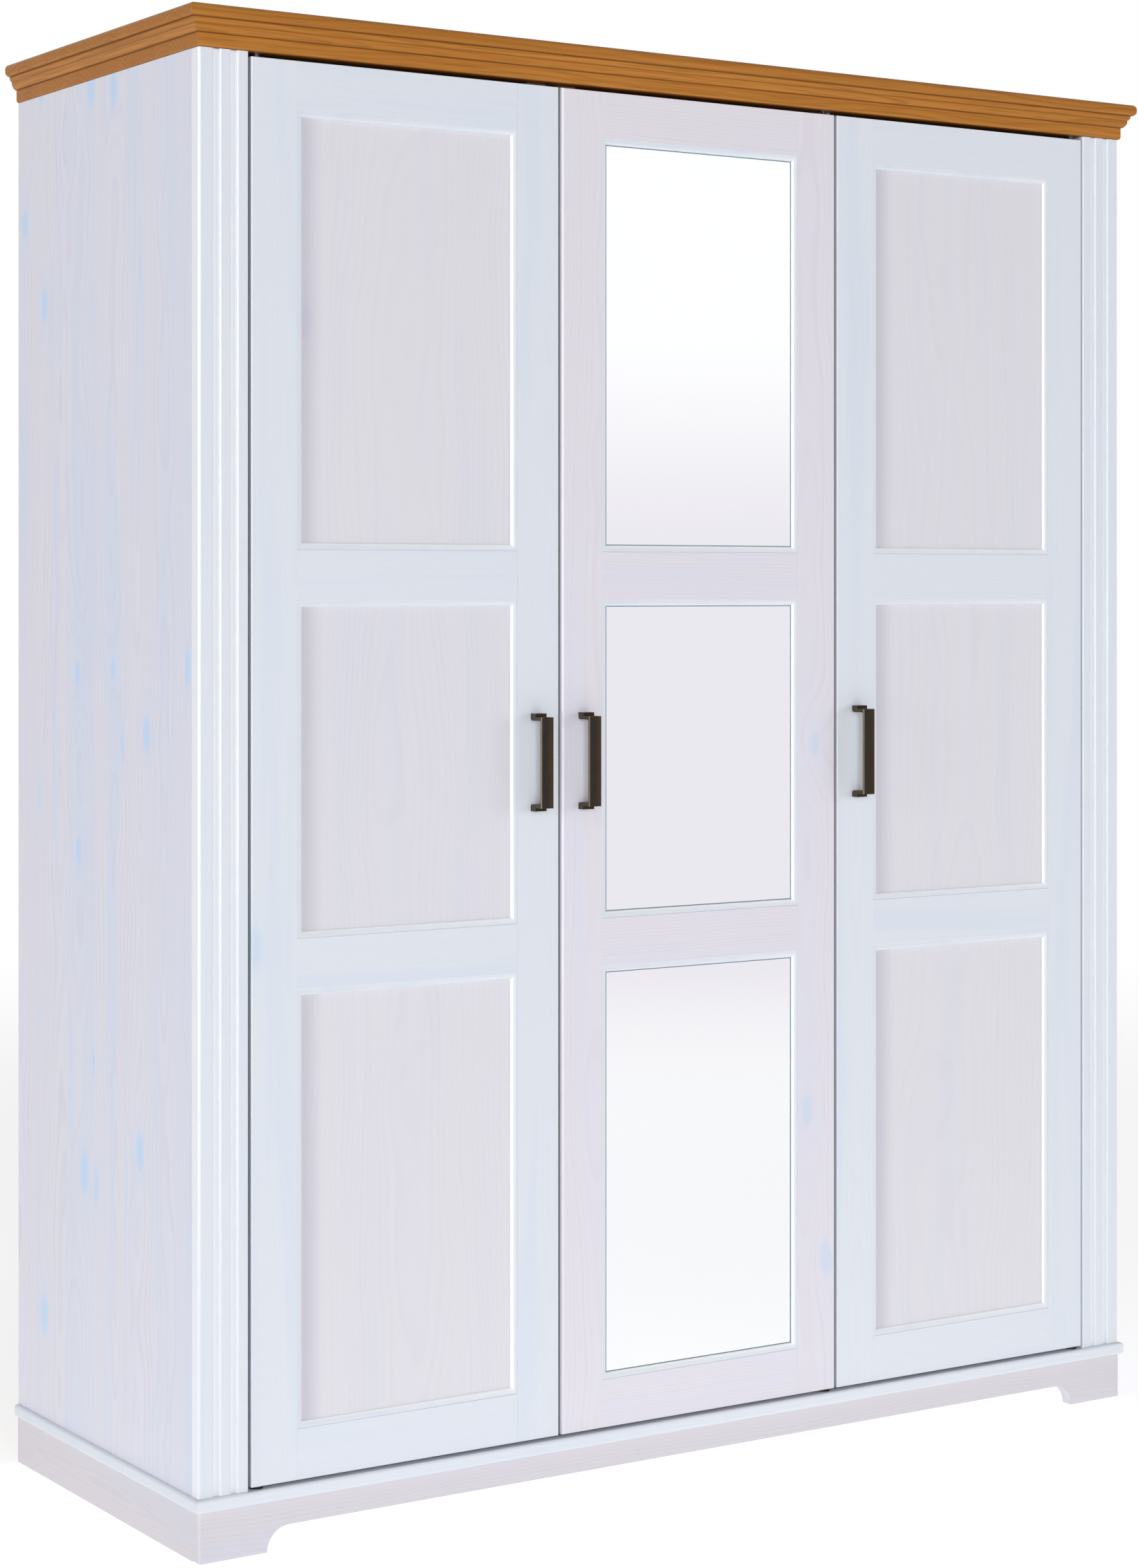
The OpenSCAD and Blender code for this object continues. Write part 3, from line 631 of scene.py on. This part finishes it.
# Points closer than this are one point. Faces that differ less than FLAT_ANGLE are one face, and
# edges sharper than SHARP_ANGLE are eased
WELD_GAP = 0.01 * MM
FLAT_ANGLE = math.radians(0.2)
SHARP_ANGLE = math.radians(32)
# Widths of the eased edges
BOARD_EASE = 0.5 * MM
DOOR_EASE = 0.35 * MM
TOP_EASE = 1.4 * MM
HANDLE_EASE = 0.7 * MM
CATCH_EASE = 0.6 * MM


def ease(piece, width, edge_slot=-1):
    """Joins a CAD piece's faces, eases its sharp edges and shades its round stretches smooth.

    edge_slot is the material slot of the eased edges, -1 for that of the faces beside them.
    """
    mesh = piece.data
    if mesh.attributes.get("custom_normal"):
        mesh.attributes.remove(mesh.attributes["custom_normal"])
    mesh.shade_smooth()
    for edge in mesh.edges:
        edge.use_edge_sharp = False
    joined = piece.modifiers.new("join", "WELD")
    joined.merge_threshold = WELD_GAP
    flat = piece.modifiers.new("flat", "DECIMATE")
    flat.decimate_type = "DISSOLVE"
    flat.angle_limit = FLAT_ANGLE
    eased = piece.modifiers.new("ease", "BEVEL")
    eased.width = width
    eased.segments = 2
    eased.limit_method = "ANGLE"
    eased.angle_limit = SHARP_ANGLE
    eased.material = edge_slot
    eased.miter_outer = "MITER_ARC"
    weighed = piece.modifiers.new("weigh", "WEIGHTED_NORMAL")
    weighed.weight = 100


def wear(piece, *materials):
    piece.data.materials.clear()
    for material in materials:
        piece.data.materials.append(material)


DOORS = ("left_door", "middle_door", "right_door")


def parts_of(node):
    """The lowest and highest corners of each separate solid in a CAD node, from the lowest up."""
    mesh = nodes[node].data
    home = {}

    def find(key):
        while home[key] != key:
            key = home[key]
        return key

    keys = [tuple(round(c, 6) for c in v.co) for v in mesh.vertices]
    for key in keys:
        home.setdefault(key, key)
    for edge in mesh.edges:
        a, b = (find(keys[i]) for i in edge.vertices)
        home[a] = b
    groups = {}
    for key in home:
        groups.setdefault(find(key), []).append(key)
    boxes = []
    for group in groups.values():
        axes = list(zip(*group))
        boxes.append((Vector(map(min, axes)), Vector(map(max, axes))))
    return sorted(boxes, key=lambda pair: pair[0].z)


def middles(node):
    """Heights of the middles of a node's separate solids."""
    return [(low.z + high.z) / 2 for low, high in parts_of(node)]


# The openings' middles part the rails from each other, and the two middle rails part the panels
OPENING_MIDDLES = middles("left_door_mouldings")
RAIL_MIDDLES = middles("left_door_rails")[1:3]
# Heights that part the shelves from each other
SHELF_MIDDLES = middles("shelves")
SHELF_CUTS = [(lower + upper) / 2 for lower, upper in zip(SHELF_MIDDLES, SHELF_MIDDLES[1:])]

# Boards glued edge to edge: standing in the sides, lying in the shelves, and those of the two crown boards
UPRIGHT = dict(grain=Z, across=Y, width=93 * MM, ring=7.0, pith=95)
LEVEL = dict(grain=X, across=Y, width=85 * MM)
SHELF = dict(LEVEL, ring=7.0, pith=95, knots=0.4)
CROWN = dict(grain=X, across=Y, ring=8.0, pith=80)

WOODS = {
    "side_left": ("side", Timber(**UPRIGHT, knots=0.62, wave=1.4, seed=0.3)),
    "side_right": ("side", Timber(**UPRIGHT, knots=0.60, wave=1.4, seed=4.1)),
    "partition": ("side", Timber(**UPRIGHT, knots=0.5, wave=1.4, seed=8.6)),
    "hat_shelf": ("side", Timber(**SHELF, seed=2.2)),
    "shelves": ("side", Timber(**SHELF, seed=5.7, cuts=SHELF_CUTS)),
    "plinth_front": ("plinth", Timber(X, Z, knots=0.25, seed=1.4, wave=0.7)),
    "plinth_left": ("plinth", Timber(Y, Z, knots=0.3, seed=2.6, wave=0.8)),
    "plinth_right": ("plinth", Timber(Y, Z, knots=0.3, seed=3.9, wave=0.8)),
    "pilaster_left": ("white", Timber(Z, X, seed=1.9)),
    "pilaster_right": ("white", Timber(Z, X, seed=2.8)),
    "base_board": ("white", Timber(**LEVEL, seed=6.4)),
    "carcass_top": ("honey", Timber(**CROWN, width=88 * MM, seed=3.35)),
    "top_board": ("honey", Timber(**CROWN, width=96 * MM, seed=1.8)),
    "crown_moulding_front": ("honey", Timber(X, Z, ring=3.5, seed=2.1, wave=0.6)),
    "crown_moulding_left": ("honey", Timber(Y, Z, ring=3.5, seed=5.2, wave=0.6)),
    "crown_moulding_right": ("honey", Timber(Y, Z, ring=3.5, seed=6.3, wave=0.6)),
    "corner_posts": ("raw", Timber(Z, X, seed=1.1)),
    "plinth_back": ("raw", Timber(X, Z, seed=2.9)),
    "plinth_blocks": ("raw", Timber(Z, X, seed=3.3)),
    "crown_spacers": ("raw", Timber(X, Y, seed=4.4)),
    "dowels": ("raw", Timber(Z, X, seed=5.5)),
}
for index, door in enumerate(DOORS):
    look = "rose" if door == "middle_door" else "white"
    seed = 11.0 + 3.7 * index
    WOODS[f"{door}_stile_left"] = (look, Timber(Z, X, seed=seed, knots=0.12, wave=0.8))
    WOODS[f"{door}_stile_right"] = (look, Timber(Z, X, seed=seed + 1.3, knots=0.4, wave=0.8))
    WOODS[f"{door}_rails"] = (look, Timber(X, Z, cuts=OPENING_MIDDLES, seed=seed + 2.1, wave=0.8))
    WOODS[f"{door}_mouldings"] = ("white", Timber(Z, X, seed=seed + 2.9))
    if door != "middle_door":
        board = Timber(Z, X, cuts=RAIL_MIDDLES, ring=7.0, pith=150, wave=1.3, knots=0.04, seed=seed + 3.3)
        WOODS[f"{door}_panels"] = ("panel", board)


def ease_width(name):
    """Width of a wooden piece's eased edges. The top board's corners are rounder than the rest."""
    if name == "top_board":
        return TOP_EASE
    return DOOR_EASE if "door" in name else BOARD_EASE


def dress_woods():
    for name, (look, timber) in WOODS.items():
        low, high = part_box(name)
        title = f"{look}_{name}"
        if look == "honey":
            material = honey_wood(title, timber, low, high)
        elif look == "raw":
            material = raw_wood(title, timber, low, high)
        else:
            material = painted_wood(title, look, timber, low, high)
        wear(nodes[name], material)
        ease(nodes[name], ease_width(name))


def dress_fittings():
    metal = steel()
    sheet = hardboard("hardboard")
    natural = plastic("nylon", (0.80, 0.79, 0.74), (0.74, 0.73, 0.68), 0.40)
    white = plastic("white_plastic", (0.78, 0.79, 0.80), (0.73, 0.74, 0.76), 0.40)
    brown = plastic("brown_plastic", (0.22, 0.115, 0.050), (0.15, 0.078, 0.034), 0.35)
    # Dark plastic for the pivot bushes. The left and right doors' pivot pins wear it too, as painted shade
    bush = plastic("bush_plastic", (0.050, 0.034, 0.022), (0.032, 0.022, 0.015), 0.40)
    handle_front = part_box("left_door_handle")[0].y
    skin, rubbed = bronze(False, handle_front), bronze(True, handle_front)
    glass = mirror_glass()
    for name in ("clothes_rail", "rail_sockets", "shelf_pins", "back_nails"):
        wear(nodes[name], metal)
    for name in ("back_left", "back_middle", "back_right"):
        wear(nodes[name], sheet)
    wear(nodes["middle_door_backs"], hardboard("hardboard_lacquered", lacquered=True))
    wear(nodes["floor_glides"], natural)
    wear(nodes["pivot_bushes"], bush)
    wear(nodes["back_joint_strip"], white)
    wear(nodes["magnetic_catches"], brown)
    wear(nodes["middle_door_mirrors"], glass)
    for door in DOORS:
        for part in ("handle_screws", "strike"):
            wear(nodes[f"{door}_{part}"], metal)
        # The left and right doors' pivot pins wear the dark bush plastic: painted shade, so that they read
        # as the dark gap above the doors
        wear(nodes[f"{door}_pivots"], skin if door == "middle_door" else bush)
        wear(nodes[f"{door}_handle"], skin, rubbed)
        ease(nodes[f"{door}_handle"], HANDLE_EASE, edge_slot=1)
    ease(nodes["magnetic_catches"], CATCH_EASE)


dress_woods()
dress_fittings()

# ---------- Pieces made here ----------

# Width of the mouldings round the mirrors
BEAD_WIDTH = 9 * MM
# Width of the dark strip of painted shade round each mirror, and how far it stands out from the glass
GAP_SHADE_WIDTH = 1.1 * MM
GAP_SHADE_RISE = 0.7 * MM


def corners(low, high, inset=0.0):
    """The x and z of a rectangle's corners, moved inwards by inset."""
    left, right = low.x + inset, high.x - inset
    bottom, top = low.z + inset, high.z - inset
    return [(left, bottom), (right, bottom), (right, top), (left, top)]


def frame_strip(mesh, low, high, y_back, y_front, width):
    """Adds four mitred bars inside the rectangle low..high in x and z, from y_back out to y_front."""
    outer = corners(low, high)
    inner = corners(low, high, width)
    rings = []
    for points, y in ((outer, y_back), (outer, y_front), (inner, y_front), (inner, y_back)):
        rings.append([mesh.verts.new((x, y, z)) for x, z in points])
    for a, b in zip(rings, rings[1:] + rings[:1]):
        for i in range(4):
            j = (i + 1) % 4
            mesh.faces.new((a[i], a[j], b[j], b[i]))


def make_mirror_gap_shades():
    """Painted shade: thin dark strips round the three mirrors, inside the mouldings, for the shaded gap
    between glass and moulding.
    """
    mesh = bmesh.new()
    glass_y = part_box("middle_door_mirrors")[0].y
    for low, high in parts_of("middle_door_mouldings"):
        inset = Vector((BEAD_WIDTH, 0, BEAD_WIDTH))
        frame_strip(mesh, low + inset, high - inset, glass_y, glass_y - GAP_SHADE_RISE, GAP_SHADE_WIDTH)
    bmesh.ops.recalc_face_normals(mesh, faces=mesh.faces)
    data = bpy.data.meshes.new("mirror_gap_shades")
    mesh.to_mesh(data)
    mesh.free()
    data.materials.append(gap_shade_paint())
    piece = bpy.data.objects.new("mirror_gap_shades", data)
    scene.collection.objects.link(piece)
    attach(piece, "middle_door")


make_mirror_gap_shades()

# ---------- Studio ----------

# The floor is a disc a little below the feet, so that their undersides don't lie in it
FLOOR_RADIUS = 7.0
FLOOR_SIDES = 96
FLOOR_DROP = 0.5 * MM
FLOOR_PAPER = (0.48, 0.48, 0.485, 1.0)
FLOOR_GLOW = 0.76
# Distances from the middle over which the floor fades out
FLOOR_FADE = (2.6, 6.6)
WHITE = (1.0, 1.0, 1.0)
# What glossy surfaces reflect: a light surround, softly darker near the horizon. The spans are the
# height of the ray's direction, above and below level
HORIZON = (0.875, 0.850, 0.905)
SURROUND = (1.05, 1.05, 1.05)
HORIZON_TOP = (0.005, 0.085)
HORIZON_FOOT = (-0.11, -0.20)
# Soft light from below and from above
LIGHT_BELOW = (0.43, 0.43, 0.44)
LIGHT_ABOVE = (0.19, 0.195, 0.20)


def make_floor():
    """A white floor that fades into the white background."""
    mesh = bmesh.new()
    bmesh.ops.create_circle(mesh, cap_ends=True, segments=FLOOR_SIDES, radius=FLOOR_RADIUS)
    data = bpy.data.meshes.new("floor")
    mesh.to_mesh(data)
    mesh.free()
    floor = bpy.data.objects.new("floor", data)
    floor.location.z = -FLOOR_DROP
    scene.collection.objects.link(floor)
    material, graph = new_material("floor")
    x, y, _ = graph.point()
    away = (x * x + y * y).root()
    paper = graph.add("ShaderNodeBsdfDiffuse")
    paper.inputs["Color"].default_value = FLOOR_PAPER
    glow = graph.add("ShaderNodeEmission")
    glow.inputs["Color"].default_value = (*WHITE, 1.0)
    glow.inputs["Strength"].default_value = FLOOR_GLOW
    both = graph.add("ShaderNodeAddShader")
    graph.feed(both.inputs[0], paper.outputs[0])
    graph.feed(both.inputs[1], glow.outputs[0])
    clear = graph.add("ShaderNodeBsdfTransparent")
    mixed = graph.add("ShaderNodeMixShader")
    graph.feed(mixed.inputs[0], away.fade(*FLOOR_FADE))
    graph.feed(mixed.inputs[1], both.outputs[0])
    graph.feed(mixed.inputs[2], clear.outputs[0])
    graph.show(mixed)
    data.materials.append(material)


def make_world():
    """White background. More light comes from below than from above, as over a white floor."""
    world = bpy.data.worlds.new("studio")
    scene.world = world
    graph = Graph(world)
    rise = graph.coordinates("Generated")[Z]
    clear_of_horizon = rise.fade(*HORIZON_TOP) + rise.fade(*HORIZON_FOOT)
    reflected = graph.blend(clear_of_horizon, HORIZON, SURROUND)
    ambient = graph.blend(rise.fade(-0.3, 0.3), LIGHT_BELOW, LIGHT_ABOVE)
    path = graph.add("ShaderNodeLightPath")
    color = graph.blend(path.outputs["Is Glossy Ray"], ambient, reflected)
    color = graph.blend(path.outputs["Is Camera Ray"], color, WHITE)
    background = graph.add("ShaderNodeBackground")
    graph.feed(background.inputs["Color"], color)
    graph.show(background, "ShaderNodeOutputWorld")


def softbox(name, turn, distance, height, width, tall, power, glossy=True, diffuse=True):
    """An area light that faces the wardrobe, in metres and watts.

    turn is degrees to the left of straight in front. glossy and diffuse say what the light shows in.
    """
    data = bpy.data.lights.new(name, "AREA")
    data.shape = "RECTANGLE"
    data.size = width
    data.size_y = tall
    data.energy = power
    light = bpy.data.objects.new(name, data)
    angle = math.radians(turn)
    light.location = (-math.sin(angle) * distance, -math.cos(angle) * distance, height)
    aim = Vector((0, 0, (cad_low.z + cad_high.z) / 2)) - light.location
    light.rotation_euler = aim.to_track_quat("-Z", "Y").to_euler()
    light.visible_camera = False
    light.visible_glossy = glossy
    light.visible_diffuse = diffuse
    scene.collection.objects.link(light)


make_floor()
make_world()
# Key, rake and fill light the paint. The sheen shows only as highlights on rounded edges
softbox("key", turn=22, distance=9.0, height=2.3, width=2.6, tall=4.0, power=285, glossy=False)
softbox("rake", turn=77, distance=9.0, height=1.8, width=1.7, tall=4.0, power=235, glossy=False)
softbox("fill", turn=-55, distance=9.0, height=1.9, width=3.6, tall=3.6, power=180, glossy=False)
softbox("sheen", turn=57, distance=4.4, height=1.2, width=9.0, tall=3.8, power=500, diffuse=False)
